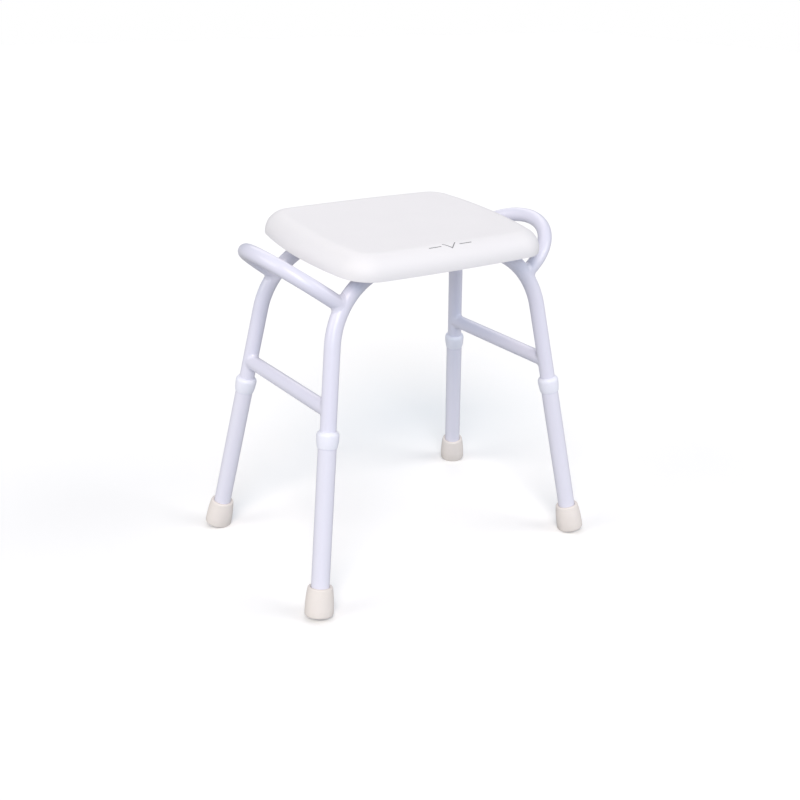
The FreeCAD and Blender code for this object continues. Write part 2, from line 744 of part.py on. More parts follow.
# A boolean that drops a rib still gives a valid shape, so each rib's middle is looked for.
for part in ribs:
    if not shell.Shape.isInside(part.Shape.CenterOfMass, 0, True):
        faults.append(f"{part.Label}: missing from the seat")
if faults:
    raise RuntimeError("\n".join(faults))
os.makedirs("parts", exist_ok=True)
for part in sub_parts:
    solids = len(part.Shape.Solids)
    print(part.Label, solids, round(part.Shape.Volume, 1))
    part.Shape.exportStep(f"parts/{part.Label}.step")
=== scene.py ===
import json
import math

import bpy
import numpy as np
from mathutils import Matrix, Vector

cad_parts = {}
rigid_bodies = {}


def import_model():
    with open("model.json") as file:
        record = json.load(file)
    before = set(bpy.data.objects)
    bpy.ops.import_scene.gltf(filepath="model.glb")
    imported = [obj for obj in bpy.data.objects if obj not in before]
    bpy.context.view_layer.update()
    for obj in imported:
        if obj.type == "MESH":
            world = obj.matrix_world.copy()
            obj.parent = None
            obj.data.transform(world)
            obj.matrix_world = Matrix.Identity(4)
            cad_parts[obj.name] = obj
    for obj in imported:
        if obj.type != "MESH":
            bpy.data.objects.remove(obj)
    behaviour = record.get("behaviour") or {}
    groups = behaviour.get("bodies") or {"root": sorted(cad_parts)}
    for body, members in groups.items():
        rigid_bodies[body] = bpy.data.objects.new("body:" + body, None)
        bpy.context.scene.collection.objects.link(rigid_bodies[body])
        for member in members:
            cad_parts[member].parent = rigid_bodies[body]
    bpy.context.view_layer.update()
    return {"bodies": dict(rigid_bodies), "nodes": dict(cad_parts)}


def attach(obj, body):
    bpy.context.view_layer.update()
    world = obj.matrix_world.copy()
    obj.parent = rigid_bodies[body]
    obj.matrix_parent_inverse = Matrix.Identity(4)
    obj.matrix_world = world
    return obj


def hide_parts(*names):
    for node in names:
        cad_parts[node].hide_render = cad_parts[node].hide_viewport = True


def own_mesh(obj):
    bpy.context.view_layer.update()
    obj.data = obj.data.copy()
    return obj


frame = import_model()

# Lengths are in metres, noise scales are per metre, and colours are linear.
nodes = frame["nodes"]

# ---------------------------------------------------------------- bent tube frame
# Two bent hoops stand one behind the other and carry the seat. A straight brace and a
# looped handle join them on each side. All are thin steel tube under one white powder
# coat, whose surface has the faint orange peel of baked powder.
COAT_PATCHES = 9.0
PEEL_SCALE = 420.0
PEEL_HEIGHT = 0.00008


def new_group(name, inputs, outputs):
    """A node group with named sockets. Each is (name, socket type, starting value)."""
    group = bpy.data.node_groups.new(name, "ShaderNodeTree")
    for label, kind, value in inputs:
        socket = group.interface.new_socket(label, in_out="INPUT", socket_type=kind)
        socket.default_value = value
    for label, kind in outputs:
        group.interface.new_socket(label, in_out="OUTPUT", socket_type=kind)
    return group, group.nodes.new("NodeGroupInput"), group.nodes.new("NodeGroupOutput")


def make_finish_group():
    """Colour, roughness and height of a moulded or coated surface.

    A fine noise gives the height. A coarse noise mixes two colours, and times a spread
    it is added to the roughness.
    """
    group, given, result = new_group(
        "surface finish",
        [
            ("Colour", "NodeSocketColor", (0.8, 0.8, 0.8, 1)),
            ("Deep Colour", "NodeSocketColor", (0.7, 0.7, 0.7, 1)),
            ("Patch Scale", "NodeSocketFloat", 12.0),
            ("Grain Scale", "NodeSocketFloat", 400.0),
            ("Roughness", "NodeSocketFloat", 0.3),
            ("Roughness Spread", "NodeSocketFloat", 0.05),
        ],
        [
            ("Colour", "NodeSocketColor"),
            ("Roughness", "NodeSocketFloat"),
            ("Height", "NodeSocketFloat"),
        ],
    )
    link = group.links.new
    place = group.nodes.new("ShaderNodeTexCoord")
    patches = group.nodes.new("ShaderNodeTexNoise")
    patches.inputs["Detail"].default_value = 3
    link(place.outputs["Object"], patches.inputs["Vector"])
    link(given.outputs["Patch Scale"], patches.inputs["Scale"])
    tint = group.nodes.new("ShaderNodeMix")
    tint.data_type = "RGBA"
    link(patches.outputs["Fac"], tint.inputs["Factor"])
    link(given.outputs["Colour"], tint.inputs["A"])
    link(given.outputs["Deep Colour"], tint.inputs["B"])
    link(tint.outputs["Result"], result.inputs["Colour"])
    spread = group.nodes.new("ShaderNodeMath")
    spread.operation = "MULTIPLY_ADD"
    link(patches.outputs["Fac"], spread.inputs[0])
    link(given.outputs["Roughness Spread"], spread.inputs[1])
    link(given.outputs["Roughness"], spread.inputs[2])
    link(spread.outputs[0], result.inputs["Roughness"])
    grain = group.nodes.new("ShaderNodeTexNoise")
    grain.inputs["Detail"].default_value = 2
    link(place.outputs["Object"], grain.inputs["Vector"])
    link(given.outputs["Grain Scale"], grain.inputs["Scale"])
    link(grain.outputs["Fac"], result.inputs["Height"])
    return group


finish_group = make_finish_group()


def finish_material(
    name, colour, deep, patches, grain, height, roughness, spread, sockets=None
):
    """A Principled material whose colour, roughness and bump come from the finish group.

    The colour goes from colour to deep, patch by patch. Patches and grain are scales of
    noise, and height is the depth of the grain. Sockets are the shader's own, by name.
    """
    material = bpy.data.materials.new(name)
    material.use_nodes = True
    tree = material.node_tree
    shader = tree.nodes["Principled BSDF"]
    surface = tree.nodes.new("ShaderNodeGroup")
    surface.node_tree = finish_group
    surface.inputs["Colour"].default_value = (*colour, 1)
    surface.inputs["Deep Colour"].default_value = (*deep, 1)
    surface.inputs["Patch Scale"].default_value = patches
    surface.inputs["Grain Scale"].default_value = grain
    surface.inputs["Roughness"].default_value = roughness
    surface.inputs["Roughness Spread"].default_value = spread
    bump = tree.nodes.new("ShaderNodeBump")
    bump.inputs["Distance"].default_value = height
    tree.links.new(surface.outputs["Height"], bump.inputs["Height"])
    tree.links.new(surface.outputs["Colour"], shader.inputs["Base Color"])
    tree.links.new(surface.outputs["Roughness"], shader.inputs["Roughness"])
    tree.links.new(bump.outputs["Normal"], shader.inputs["Normal"])
    for label, value in (sockets or {}).items():
        shader.inputs[label].default_value = value
    return material


def dress(names, material):
    """Give CAD nodes a material in their own slot."""
    for name in names:
        mesh = nodes[name].data
        mesh.materials.clear()
        mesh.materials.append(material)


powder_coat = finish_material(
    "frame powder coat",
    colour=(0.789, 0.783, 0.892),
    deep=(0.749, 0.743, 0.866),
    patches=COAT_PATCHES,
    grain=PEEL_SCALE,
    height=PEEL_HEIGHT,
    roughness=0.26,
    spread=0.08,
    sockets={"Coat Weight": 0.25, "Coat Roughness": 0.15},
)
dress(
    ["front_hoop", "rear_hoop", "left_brace", "right_brace", "left_handle", "right_handle"],
    powder_coat,
)

# ---------------------------------------------------------------- welds
# Each brace end and handle arm is coped to a hoop and welded all round. Under the powder
# the bead shows as a smooth flare between the two tubes.
HOOP_RADIUS = 0.0111
BAR_RADIUS = 0.0105  # braces and handles
BASE_RISE = 0.00283  # the heights below are counted from here
FOOT_X, FOOT_Y = 0.2322, 0.1553  # a leg's centre line at that height
LEAN_X, LEAN_Y = 0.1506, 0.1552  # how far it leans in, per metre up
RUN_HEIGHT = 0.455
HOOP_BEND = 0.112
BRACE_HEIGHT = 0.2769
HANDLE_HEIGHT = 0.4104
HANDLE_ROOT, HANDLE_HALF = 0.15694, 0.0903  # where a handle's arms start, in x and y
HANDLE_TILT = math.radians(36.8)
BEAD_LEG = 0.0045  # from the corner along the tube, and round the hoop
BEAD_HOLLOW = 0.6  # how far the bead's middle is drawn to the corner
BEAD_SINK = 0.0001
BEAD_BACK = 0.0006
BEAD_TURNS = 96
BEAD_STEPS = 10
ARM_REACH = 0.05  # farther along the arm than any skin it meets
HALVINGS = 40
SETTLING_ROUNDS = 4
SLOPE_STEP = 1e-5
OFF_EVERY_ARM = (0.3, 0.2, 1.0)  # a direction that no arm runs in


def hoop_distance(points, side):
    """Distance from points to a hoop's centre line.

    The line is straight along the top, then an arc, then straight down the leg, all in
    a plane that leans in. A point is first put in that plane's own axes: sideways (made
    positive), up the plane and out of it. In the plane, its distance is to whichever of
    the three it lies beside, and the distance out of the plane is added as a right side.
    """
    long = math.hypot(1, LEAN_Y)
    up = np.array([0, -side * LEAN_Y, 1]) / long
    out = np.array([0, 1, side * LEAN_Y]) / long
    local = points - np.array([0, side * FOOT_Y, BASE_RISE])
    across, height, off = np.abs(local[..., 0]), local @ up, local @ out
    lean = LEAN_X / long
    lean_long = math.hypot(1, lean)
    top = RUN_HEIGHT * long
    corner = FOOT_X - LEAN_X * RUN_HEIGHT
    before = HOOP_BEND * (lean_long - lean)
    centre_x, centre_z = corner - before, top - HOOP_BEND
    ring = np.abs(np.hypot(across - centre_x, height - centre_z) - HOOP_BEND)
    run = np.abs(height - top)
    down = np.array([lean, -1]) / lean_long
    start = np.array([corner, top])
    rel_x, rel_z = across - start[0], height - start[1]
    along = rel_x * down[0] + rel_z * down[1]
    leg = np.abs(rel_x * down[1] - rel_z * down[0])
    flat = np.where(across < centre_x, run, np.where(along > before, leg, ring))
    return np.hypot(flat, off)


def add_mesh(name, vertices, faces, material, body):
    """A smooth shaded mesh piece that rides on a body."""
    mesh = bpy.data.meshes.new(name)
    mesh.from_pydata(vertices.tolist(), [], faces)
    mesh.update()
    mesh.shade_smooth()
    mesh.materials.append(material)
    piece = bpy.data.objects.new(name, mesh)
    bpy.context.scene.collection.objects.link(piece)
    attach(piece, body)
    return piece


def grid_quads(rows, columns, close_rows=False, close_columns=False):
    """Quads of a grid of vertices in row order. It may close on itself either way."""
    i, j = np.meshgrid(
        np.arange(rows if close_rows else rows - 1),
        np.arange(columns if close_columns else columns - 1),
        indexing="ij",
    )
    i2, j2 = (i + 1) % rows, (j + 1) % columns
    quads = [i * columns + j, i2 * columns + j, i2 * columns + j2, i * columns + j2]
    return np.stack([q.ravel() for q in quads], 1)


def signed_volume(vertices, faces):
    """Six times the volume between faces and the origin, each fanned from its first corner."""
    corners = [vertices[faces[:, k]] for k in range(faces.shape[1])]
    pairs = zip(corners[1:], corners[2:])
    return sum(np.einsum("ij,ij->", corners[0], np.cross(b, c)) for b, c in pairs)


def outward(vertices, *sheets):
    """A closed surface's faces as one list, turned over if its signed volume is negative."""
    way = 1 if sum(signed_volume(vertices, sheet) for sheet in sheets) > 0 else -1
    return [face for sheet in sheets for face in sheet[:, ::way].tolist()]


def unit(vectors):
    """Each vector over its own length."""
    return vectors / np.linalg.norm(vectors, axis=-1, keepdims=True)


def hoop_normal(points, side):
    """The way out of a hoop: the slope of the distance to its centre line, by steps."""
    steps = np.eye(3) * SLOPE_STEP
    slopes = [hoop_distance(points + s, side) - hoop_distance(points - s, side) for s in steps]
    return unit(np.stack(slopes, -1))


def weld_bead(name, start, way, side):
    """A bead round a tube that runs from start along way and meets a hoop.

    At each turn round the tube, halving finds where the tube's skin leaves the hoop's
    skin. The bead's outer side is a quadratic curve from a point farther along the tube
    to a point farther round the hoop, whose middle point is drawn to the corner. The bead
    closes behind, through the tubes' walls.
    """
    start, way = np.array(start), unit(np.array(way, float))
    first = unit(np.cross(way, OFF_EVERY_ARM))
    second = np.cross(way, first)
    angle = np.linspace(0, 2 * np.pi, BEAD_TURNS, endpoint=False)[:, None]
    radial = np.cos(angle) * first + np.sin(angle) * second
    skin = start + radial * BAR_RADIUS
    low, high = np.zeros((BEAD_TURNS, 1)), np.full((BEAD_TURNS, 1), ARM_REACH)
    for _ in range(HALVINGS):
        middle = (low + high) / 2
        inside = (hoop_distance(skin + way * middle, side) < HOOP_RADIUS)[:, None]
        low, high = np.where(inside, middle, low), np.where(inside, high, middle)
    meet = skin + way * low
    on_tube = meet + way * BEAD_LEG - radial * BEAD_SINK
    on_hoop = meet + radial * BEAD_LEG
    for _ in range(SETTLING_ROUNDS):
        gap = hoop_distance(on_hoop, side)[:, None] - HOOP_RADIUS + BEAD_SINK
        on_hoop = on_hoop - hoop_normal(on_hoop, side) * gap
    bend = meet * BEAD_HOLLOW + (on_tube + on_hoop) * (1 - BEAD_HOLLOW) / 2
    share = np.linspace(0, 1, BEAD_STEPS)[None, :, None]
    curve = (
        on_tube[:, None] * (1 - share) ** 2
        + bend[:, None] * 2 * share * (1 - share)
        + on_hoop[:, None] * share**2
    )
    behind = meet - radial * BEAD_BACK - hoop_normal(meet, side) * BEAD_BACK
    grid = np.concatenate([curve, behind[:, None]], 1)
    vertices = grid.reshape(-1, 3)
    faces = outward(vertices, grid_quads(BEAD_TURNS, BEAD_STEPS + 1, True, True))
    piece = add_mesh(name, vertices, faces, powder_coat, "frame")


for side_name, side_x in (("left", -1), ("right", 1)):
    for end_name, side_y in (("front", -1), ("rear", 1)):
        brace_start = (
            side_x * (FOOT_X - LEAN_X * BRACE_HEIGHT),
            side_y * (FOOT_Y - LEAN_Y * BRACE_HEIGHT),
            BRACE_HEIGHT + BASE_RISE,
        )
        weld_bead(f"{side_name}_brace_{end_name}_weld", brace_start, (0, -side_y, 0), side_y)
        arm_start = (
            side_x * HANDLE_ROOT,
            side_y * HANDLE_HALF,
            HANDLE_HEIGHT + BASE_RISE,
        )
        arm_way = (side_x * math.cos(HANDLE_TILT), 0, math.sin(HANDLE_TILT))
        weld_bead(f"{side_name}_handle_{end_name}_weld", arm_start, arm_way, side_y)

# ---------------------------------------------------------------- lower legs
# A wider steel tube slides over each upper tube's end and sets the stool's height. Seven
# holes down its rear side take the snap button. It has a powder coat like the frame's.
CORNERS = ["front_left", "front_right", "rear_left", "rear_right"]
leg_coat = finish_material(
    "leg powder coat",
    colour=(0.785, 0.780, 0.876),
    deep=(0.755, 0.750, 0.861),
    patches=COAT_PATCHES,
    grain=PEEL_SCALE,
    height=PEEL_HEIGHT,
    roughness=0.28,
    spread=0.08,
    sockets={"Coat Weight": 0.2, "Coat Roughness": 0.18},
)
dress([f"{corner}_leg" for corner in CORNERS], leg_coat)

# ---------------------------------------------------------------- collars
# A moulded nylon collar caps each lower leg and guides the upper tube without rattle.
# Its skin is smoother and a little whiter than the coat.
collar_nylon = finish_material(
    "collar nylon",
    colour=(0.858, 0.867, 0.952),
    deep=(0.829, 0.837, 0.935),
    patches=20.0,
    grain=900.0,
    height=0.00001,
    roughness=0.34,
    spread=0.06,
)
dress([f"{corner}_collar" for corner in CORNERS], collar_nylon)

# ---------------------------------------------------------------- rubber tips
# A flared cup of warm white rubber is pushed on each leg's end. Its skin is matt and
# softly mottled, and the last few millimetres above the floor are a little darker.
# The rubber is mixed to a darker colour near the floor, fading out higher up.
DARKENING_TOP = 0.016
DARKENING_COLOUR = (0.47, 0.43, 0.38, 1)
DARKENING_MOST = 0.45
DARKENING_SCALE = 150
tip_rubber = finish_material(
    "tip rubber",
    colour=(0.826, 0.772, 0.738),
    deep=(0.764, 0.708, 0.668),
    patches=45.0,
    grain=1300.0,
    height=0.00005,
    roughness=0.62,
    spread=0.12,
)
dress([f"{corner}_tip" for corner in CORNERS], tip_rubber)


def add_foot_darkening(tree):
    """Mixes a darker colour over the base colour, towards the floor.

    Its share falls evenly from DARKENING_MOST at the floor to 0 at DARKENING_TOP, times a
    noise.
    """
    shader = tree.nodes["Principled BSDF"]
    undarkened = shader.inputs["Base Color"].links[0].from_socket
    place = tree.nodes.new("ShaderNodeTexCoord")
    parts = tree.nodes.new("ShaderNodeSeparateXYZ")
    low = tree.nodes.new("ShaderNodeMapRange")
    low.inputs["From Min"].default_value = 0
    low.inputs["From Max"].default_value = DARKENING_TOP
    low.inputs["To Min"].default_value = DARKENING_MOST
    low.inputs["To Max"].default_value = 0
    darkening_noise = tree.nodes.new("ShaderNodeTexNoise")
    darkening_noise.inputs["Scale"].default_value = DARKENING_SCALE
    darkening_noise.inputs["Detail"].default_value = 4
    share = tree.nodes.new("ShaderNodeMath")
    share.operation = "MULTIPLY"
    mix = tree.nodes.new("ShaderNodeMix")
    mix.data_type = "RGBA"
    mix.inputs["B"].default_value = DARKENING_COLOUR
    link = tree.links.new
    link(place.outputs["Object"], parts.inputs["Vector"])
    link(place.outputs["Object"], darkening_noise.inputs["Vector"])
    link(parts.outputs["Z"], low.inputs["Value"])
    link(low.outputs["Result"], share.inputs[0])
    link(darkening_noise.outputs["Fac"], share.inputs[1])
    link(share.outputs["Value"], mix.inputs["Factor"])
    link(undarkened, mix.inputs["A"])
    link(mix.outputs["Result"], shader.inputs["Base Color"])


add_foot_darkening(tip_rubber.node_tree)

# ---------------------------------------------------------------- snap buttons and springs
# A domed steel button stands through the upper tube and a leg hole. A folded leaf of
# spring steel inside the tube pushes it out.
plated_steel = finish_material(
    "plated steel",
    colour=(0.62, 0.62, 0.64),
    deep=(0.50, 0.50, 0.53),
    patches=160.0,
    grain=1500.0,
    height=0.00001,
    roughness=0.26,
    spread=0.12,
    sockets={"Metallic": 1.0},
)
dress([f"{corner}_button" for corner in CORNERS], plated_steel)

HOLE_FIRST = 0.062  # along the leg from its foot to the button
SPRING_NEAR, SPRING_FAR = 0.0073, 0.008517  # its two sides, from the leg's centre line
SPRING_THICK, SPRING_WIDTH = 0.0007, 0.0080
SPRING_FLAT = 0.007  # half the length that lies flat behind the button
SPRING_FOLD, SPRING_FOLD_RADIUS = 0.040, 0.003
SPRING_END = 0.0015  # length over which each end is rounded
END_FULLNESS = 0.98  # under 1, so that no end comes to a point
EDGE_POWER = 0.25  # the lower, the squarer the strip's edges
FOLD_STEPS = 25
CORNER_STEPS = 9  # averaged together, an odd number
LEAF_STEPS, LEAF_SIDES = 260, 24


def closed_rings(rings):
    """Vertices of stacked rings with a middle point at each end, and their quads and fans."""
    rows, columns = rings.shape[:2]
    middles = [rings[0].mean(0), rings[-1].mean(0)]
    vertices = np.concatenate([rings.reshape(-1, 3), middles])
    here, there = np.arange(columns), (np.arange(columns) + 1) % columns
    first = np.stack([np.full(columns, rows * columns), here, there], 1)
    past = (rows - 1) * columns
    last = np.stack([np.full(columns, rows * columns + 1), past + there, past + here], 1)
    quads = grid_quads(rows, columns, close_columns=True)
    return vertices, quads, np.concatenate([first, last])


def leaf_rings():
    """Rings of a folded leaf spring: towards the button, along the leg, and across.

    The path runs straight behind the button, slopes to the fold, turns half a circle and
    slopes back to the far wall. It is put at even steps and averaged over a few of them,
    which rounds its corners. Each ring is a superellipse as wide as the strip, and the
    width falls off as a quarter ellipse at both ends.
    """
    half = SPRING_THICK / 2
    turn = np.linspace(0, np.pi, FOLD_STEPS)
    bend = SPRING_FOLD_RADIUS - half
    fold = np.stack([bend * np.cos(turn), SPRING_FOLD + bend * np.sin(turn)], 1)
    near, far = SPRING_NEAR - half, half - SPRING_FAR
    near_side = [(near, -SPRING_FLAT), (near, SPRING_FLAT)]
    far_side = [(far, SPRING_FLAT), (far, -SPRING_FLAT)]
    path = np.concatenate([near_side, fold, far_side])
    long = np.concatenate([[0], np.cumsum(np.linalg.norm(np.diff(path, axis=0), axis=1))])
    along = np.linspace(0, long[-1], LEAF_STEPS)
    line = np.stack([np.interp(along, long, path[:, k]) for k in (0, 1)], 1)
    window = np.ones(CORNER_STEPS) / CORNER_STEPS
    spare = ((CORNER_STEPS // 2, CORNER_STEPS // 2), (0, 0))
    padded = np.pad(line, spare, mode="reflect", reflect_type="odd")
    line = np.stack([np.convolve(padded[:, k], window, "valid") for k in (0, 1)], 1)
    slope = unit(np.gradient(line, axis=0))
    normal = np.stack([slope[:, 1], -slope[:, 0]], 1)
    to_end = np.minimum(along, along[-1] - along) / SPRING_END
    width = SPRING_WIDTH / 2 * np.sqrt(1 - np.clip(1 - to_end, 0, END_FULLNESS) ** 2)
    turn = np.linspace(0, 2 * np.pi, LEAF_SIDES, endpoint=False)
    flat_x = np.sign(np.cos(turn)) * np.abs(np.cos(turn)) ** EDGE_POWER
    flat_y = np.sign(np.sin(turn)) * np.abs(np.sin(turn)) ** EDGE_POWER
    plane = line[:, None] + normal[:, None] * (half * flat_y)[None, :, None]
    across = width[:, None] * flat_x[None, :]
    return np.concatenate([plane, across[..., None]], -1)


leaf, leaf_quads, leaf_fans = closed_rings(leaf_rings())
for corner in CORNERS:
    side_x = -1 if "left" in corner else 1
    side_y = -1 if "front" in corner else 1
    upward = unit(np.array([-side_x * LEAN_X, -side_y * LEAN_Y, 1]))
    middle = np.array([side_x * FOOT_X, side_y * FOOT_Y, BASE_RISE]) + upward * HOLE_FIRST
    to_button = unit(np.array([0, 1, side_y * LEAN_Y]))
    across = np.cross(to_button, upward)
    vertices = middle + leaf @ np.stack([to_button, upward, across])
    faces = outward(vertices, leaf_quads, leaf_fans)
    spring = add_mesh(f"{corner}_spring_leaf", vertices, faces, plated_steel, "frame")
    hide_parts(f"{corner}_spring")
    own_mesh(spring)

# ---------------------------------------------------------------- seat
# One moulding of white plastic with a flat top, a deep rolled edge and ribs below. It
# drops a little towards the front so that the user sits ready to stand.
seat_plastic = finish_material(
    "seat plastic",
    colour=(0.851, 0.837, 0.853),
    deep=(0.822, 0.807, 0.826),
    patches=14.0,
    grain=1100.0,
    height=0.00012,
    roughness=0.52,
    spread=0.08,
    sockets={"Specular IOR Level": 0.45},
)
dress(["seat"], seat_plastic)

# ---------------------------------------------------------------- front mark
# A plain grey mark is printed where the top rolls over the front edge: a chevron that
# points to the front, with a fine line on either side.
SEAT_TOP = (0, -0.0011, 0.4937)
SEAT_SLOPE = math.radians(4.1)
SEAT_HALF_WIDTH, SEAT_HALF_DEPTH = 0.176, 0.1392
SEAT_FRONT_BOW = 0.0054
SEAT_ROLL = 0.0285
MARK_X = -0.0055
CHEVRON_HALF, CHEVRON_BACK, CHEVRON_TIP = 0.0105, -0.1150, -0.1245
LINE_NEAR, LINE_FAR, LINE_Y = 0.016, 0.035, -0.1195
MARK_STROKE = 0.0012
MARK_LIFT = 0.00010
MARK_STEPS, MARK_ROWS = 24, 5
mark_ink = finish_material(
    "mark ink",
    colour=(0.16, 0.16, 0.17),
    deep=(0.22, 0.22, 0.23),
    patches=300.0,
    grain=900.0,
    height=0.00001,
    roughness=0.5,
    spread=0.1,
)


def seat_skin(x, y):
    """Height of the seat's top in its own frame, and the drop of its rolled front edge.

    Inside the roll it is 0. Nearer the front edge it is a quarter circle's drop, by the
    distance from the bowed edge.
    """
    bow_radius = (SEAT_HALF_WIDTH**2 + SEAT_FRONT_BOW**2) / (2 * SEAT_FRONT_BOW)
    inset = bow_radius - np.hypot(x, y - (bow_radius - SEAT_HALF_DEPTH))
    past = np.clip(SEAT_ROLL - inset, 0, SEAT_ROLL)
    return np.sqrt(SEAT_ROLL**2 - past**2) - SEAT_ROLL


def mark_strip(name, start, end):
    """A flat strip from start to end that follows the seat's skin.

    Each grid point is a step along the strip and an offset across it, dropped to the
    skin. The upper sheet is lifted by the ink's thickness and the lower one sunk by it,
    and a wall round the rim joins them.
    """
    length = math.dist(start, end)
    (x0, y0), (x1, y1) = start, end
    ux, uy = (x1 - x0) / length, (y1 - y0) / length
    half = MARK_STROKE / 2
    along = np.linspace(-half, length + half, MARK_STEPS)[:, None]
    offset = np.linspace(-half, half, MARK_ROWS)[None, :]
    x = x0 + ux * along - uy * offset
    y = y0 + uy * along + ux * offset
    top = np.stack([x, y, seat_skin(x, y) + MARK_LIFT], -1)
    low = np.stack([x, y, seat_skin(x, y) - MARK_LIFT], -1)
    vertices = np.concatenate([top.reshape(-1, 3), low.reshape(-1, 3)])
    turn = np.array(Matrix.Rotation(SEAT_SLOPE, 3, "X"))
    vertices = vertices @ turn.T + np.array(SEAT_TOP)
    count = MARK_STEPS * MARK_ROWS
    place = np.arange(count).reshape(MARK_STEPS, MARK_ROWS)
    rim = np.concatenate([place[:-1, 0], place[-1, :-1], place[:0:-1, -1], place[0, :0:-1]])
    following = np.roll(rim, -1)
    wall = np.stack([rim, following, following + count, rim + count], 1)
    sheet = grid_quads(MARK_STEPS, MARK_ROWS)
    faces = outward(vertices, sheet, sheet[:, ::-1] + count, wall)
    piece = add_mesh(name, vertices, faces, mark_ink, "frame")


for label, (x0, y0), (x1, y1) in (
    ("chevron_left", (-CHEVRON_HALF, CHEVRON_BACK), (0.0, CHEVRON_TIP)),
    ("chevron_right", (0.0, CHEVRON_TIP), (CHEVRON_HALF, CHEVRON_BACK)),
    ("line_left", (-LINE_FAR, LINE_Y), (-LINE_NEAR, LINE_Y)),
    ("line_right", (LINE_NEAR, LINE_Y), (LINE_FAR, LINE_Y)),
):
    mark_strip(f"front_mark_{label}", (x0 + MARK_X, y0), (x1 + MARK_X, y1))

# ---------------------------------------------------------------- seat screws
# Four plated pan head screws pass up through the hoops' runs and cut their own thread in
# the seat's bosses. Each head has a cross recess and bears on the underside of the run.
SCREW_SPAN = 0.050
SCREW_RADIUS, SCREW_CORE = 0.0025, 0.0019
SCREW_END = 0.0241
SCREW_POINT, POINT_LEAST = 0.005, 0.02
THREAD_PITCH = 0.0018
THREAD_STEEP = 2.2
THREAD_START = -0.6 * HOOP_RADIUS
HEAD_RADIUS, HEAD_HEIGHT = 0.005, 0.0032
HEAD_POWER = 3.5
RECESS_HALF, RECESS_REACH, RECESS_DEPTH = 0.00055, 0.0026, 0.0017
RECESS_DRAFT = 0.35 * RECESS_HALF
SCREW_TURNS = 72
HEAD_RINGS, SHANK_RINGS = 48, 140


def screw_rings():
    """Rings of one screw about a Z axis whose origin is on the hoop's centre line.

    The head is a superellipse, nearly flat in the middle and upright at the rim. It sinks
    where the distance to an arm of a cross falls under the arm's half width. The shank's
    radius is its core plus a ridge, the upper part of a triangle wave of height less
    turn, and it draws in evenly to a point.
    """
    turn = np.linspace(0, 2 * np.pi, SCREW_TURNS, endpoint=False)[None, :]
    share = np.linspace(0, 1, HEAD_RINGS + 1)[1:, None]
    radius = HEAD_RADIUS * (1 - (1 - share) ** 2)
    x, y = radius * np.cos(turn), radius * np.sin(turn)
    fall = HEAD_HEIGHT * (1 - (1 - (radius / HEAD_RADIUS) ** HEAD_POWER) ** (1 / HEAD_POWER))
    slot = RECESS_HALF - np.minimum(np.abs(x), np.abs(y))
    slot = np.minimum(slot, RECESS_REACH - radius)
    sunk = RECESS_DEPTH * np.clip(slot / RECESS_DRAFT, 0, 1)
    head = np.stack([x, y, np.maximum(fall, sunk) - HEAD_HEIGHT - HOOP_RADIUS], -1)
    height = np.linspace(-HOOP_RADIUS, SCREW_END, SHANK_RINGS)[:, None]
    wave = np.abs((height / THREAD_PITCH - turn / (2 * np.pi)) % 1 - 0.5) * 2
    ridge = (SCREW_RADIUS - SCREW_CORE) * np.clip(1 - THREAD_STEEP * (1 - wave), 0, 1)
    taper = np.clip((SCREW_END - height) / SCREW_POINT, POINT_LEAST, 1)
    radius = (SCREW_CORE + ridge * (height > THREAD_START)) * taper
    shank = np.stack([radius * np.cos(turn), radius * np.sin(turn), height + 0 * turn], -1)
    return np.concatenate([head, shank])


one_screw, screw_quads, screw_fans = closed_rings(screw_rings())
one_screw = one_screw @ np.array(Matrix.Rotation(SEAT_SLOPE, 3, "X")).T
run_y = FOOT_Y - LEAN_Y * RUN_HEIGHT
screw_spots = np.array(
    [
        (side_x * SCREW_SPAN, side_y * run_y, RUN_HEIGHT + BASE_RISE)
        for side_x in (-1, 1)
        for side_y in (-1, 1)
    ]
)
screw_vertices = (screw_spots[:, None] + one_screw[None]).reshape(-1, 3)
firsts = np.arange(len(screw_spots))[:, None, None] * len(one_screw)
screw_faces = outward(
    screw_vertices,
    (firsts + screw_quads[None]).reshape(-1, 4),
    (firsts + screw_fans[None]).reshape(-1, 3),
)
seat_screws = add_mesh("seat_screws_detail", screw_vertices, screw_faces, plated_steel, "frame")
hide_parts("seat_screws")

# ---------------------------------------------------------------- floor, light and camera
# A plain white floor under broad soft lights, and the camera at the stool's front left,
# looking a little down on the seat. The floor sinks with the lowest tip.
FLOOR_HALF = 9.0
FLOOR_SEEN = (1.0, 1.0, 1.0, 1)
FLOOR_BOUNCE = (0.50, 0.50, 0.50, 1)  # its colour for the light that it throws up
FLOOR_GLOW = (0.05, 0.05, 0.05, 1)
SKY_TINT, SKY_STRENGTH = (0.720, 0.847, 1.0, 1), 0.371
BACKDROP_WHITE = (1.0, 1.0, 1.0, 1)
AZIMUTH, ELEVATION, ROLL = (math.radians(angle) for angle in (35.2, 21.46, 1.54))
AIM = Vector((0, 0, 0.2428))
DISTANCE = 1.6525
SENSOR, LENS = 36, 49.29  # millimetres
SHIFT_X, SHIFT_Y = 0.0019, -0.02095

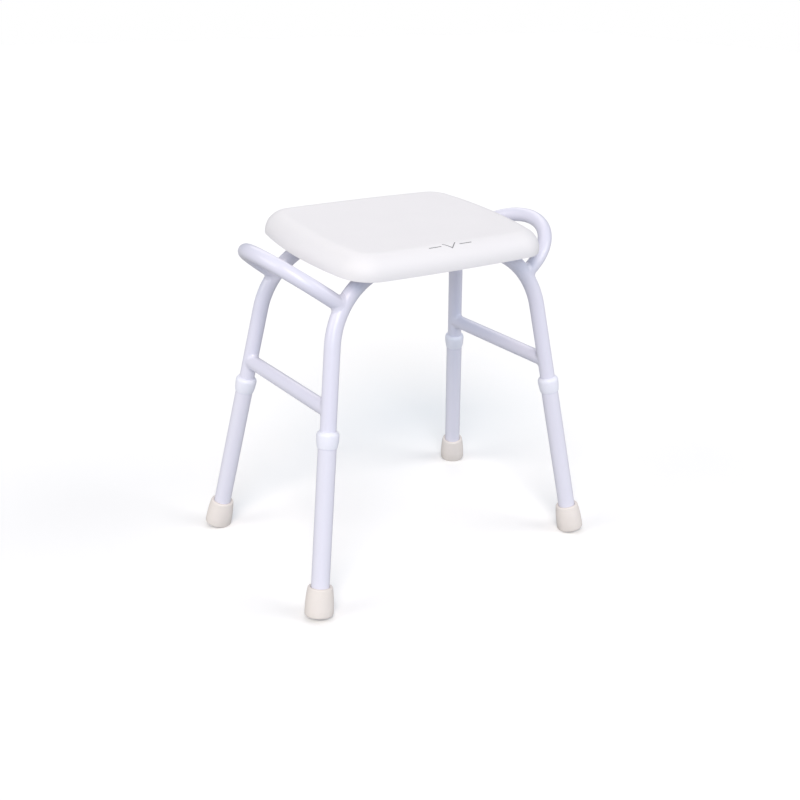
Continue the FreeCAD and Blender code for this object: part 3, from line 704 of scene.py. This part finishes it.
corner_signs = ((-1, -1), (1, -1), (1, 1), (-1, 1))
floor_corners = [(x * FLOOR_HALF, y * FLOOR_HALF, 0) for x, y in corner_signs]
floor_mesh = bpy.data.meshes.new("floor")
floor_mesh.from_pydata(floor_corners, [], [(0, 1, 2, 3)])
floor = bpy.data.objects.new("floor", floor_mesh)
bpy.context.scene.collection.objects.link(floor)
floor_paint = bpy.data.materials.new("floor paint")
floor_paint.use_nodes = True
floor_tree = floor_paint.node_tree
floor_shader = floor_tree.nodes["Principled BSDF"]
floor_shader.inputs["Roughness"].default_value = 0.9
floor_shader.inputs["Specular IOR Level"].default_value = 0.1
floor_shader.inputs["Emission Color"].default_value = FLOOR_GLOW
seen = floor_tree.nodes.new("ShaderNodeLightPath")
floor_colour = floor_tree.nodes.new("ShaderNodeMix")
floor_colour.data_type = "RGBA"
floor_colour.inputs["A"].default_value = FLOOR_BOUNCE
floor_colour.inputs["B"].default_value = FLOOR_SEEN
floor_tree.links.new(seen.outputs["Is Camera Ray"], floor_colour.inputs["Factor"])
floor_tree.links.new(seen.outputs["Is Camera Ray"], floor_shader.inputs["Emission Strength"])
floor_tree.links.new(floor_colour.outputs["Result"], floor_shader.inputs["Base Color"])
floor_mesh.materials.append(floor_paint)
# A leg body's origin is at floor height at rest and sinks with the leg. The floor stays at
# or below all four.
for corner in CORNERS:
    stop = floor.constraints.new("FLOOR")
    stop.target = frame["bodies"][f"{corner}_leg_body"]
    stop.floor_location = "FLOOR_NEGATIVE_Z"

world = bpy.data.worlds.new("studio")
bpy.context.scene.world = world
world.use_nodes = True
world_tree = world.node_tree
sky = world_tree.nodes["Background"]
sky.inputs["Color"].default_value = SKY_TINT
sky.inputs["Strength"].default_value = SKY_STRENGTH
backdrop = world_tree.nodes.new("ShaderNodeBackground")
backdrop.inputs["Color"].default_value = BACKDROP_WHITE
direct = world_tree.nodes.new("ShaderNodeLightPath")
sky_mix = world_tree.nodes.new("ShaderNodeMixShader")
surround = world_tree.nodes["World Output"]
world_tree.links.new(direct.outputs["Is Camera Ray"], sky_mix.inputs["Fac"])
world_tree.links.new(sky.outputs["Background"], sky_mix.inputs[1])
world_tree.links.new(backdrop.outputs["Background"], sky_mix.inputs[2])
world_tree.links.new(sky_mix.outputs["Shader"], surround.inputs["Surface"])
bpy.context.scene.view_settings.view_transform = "Standard"


def soft_light(name, way, spread, power, colour):
    """A broad far light that shines from a way, its spread in degrees."""
    data = bpy.data.lights.new(name, "SUN")
    data.angle = math.radians(spread)
    data.energy = power
    data.color = colour
    lamp = bpy.data.objects.new(name, data)
    lamp.rotation_euler = Vector(way).to_track_quat("Z", "Y").to_euler()
    bpy.context.scene.collection.objects.link(lamp)


soft_light("key light", (-1.6, -1.9, 2.3), 30, 1.319, (1.0, 0.847, 0.720))
soft_light("low front light", (-1.2, -1.9, 0.9), 30, 0.835, (0.720, 0.847, 1.0))
soft_light("right light", (1.8, -1.6, 1.6), 40, 0.948, (1.0, 0.964, 0.922))
soft_light("left light", (-2.5, 0.5, 1.3), 40, 0.830, (1.0, 0.950, 0.864))
soft_light("rear light", (1.0, 1.8, 1.6), 40, 0.483, (1.0, 0.928, 0.900))

flat_reach = math.cos(ELEVATION)
back = Vector(
    (-math.sin(AZIMUTH) * flat_reach, -math.cos(AZIMUTH) * flat_reach, math.sin(ELEVATION))
)
right = (-back).cross(Vector((0, 0, 1))).normalized()
above = right.cross(-back)
camera_x = right * math.cos(ROLL) + above * math.sin(ROLL)
camera_y = above * math.cos(ROLL) - right * math.sin(ROLL)
camera_data = bpy.data.cameras.new("camera")
camera_data.sensor_width = SENSOR
camera_data.lens = LENS
camera_data.shift_x = SHIFT_X
camera_data.shift_y = SHIFT_Y
camera = bpy.data.objects.new("camera", camera_data)
turn = Matrix((camera_x, camera_y, back)).transposed().to_4x4()
camera.matrix_world = Matrix.Translation(AIM + back * DISTANCE) @ turn
bpy.context.scene.collection.objects.link(camera)
bpy.context.scene.camera = camera
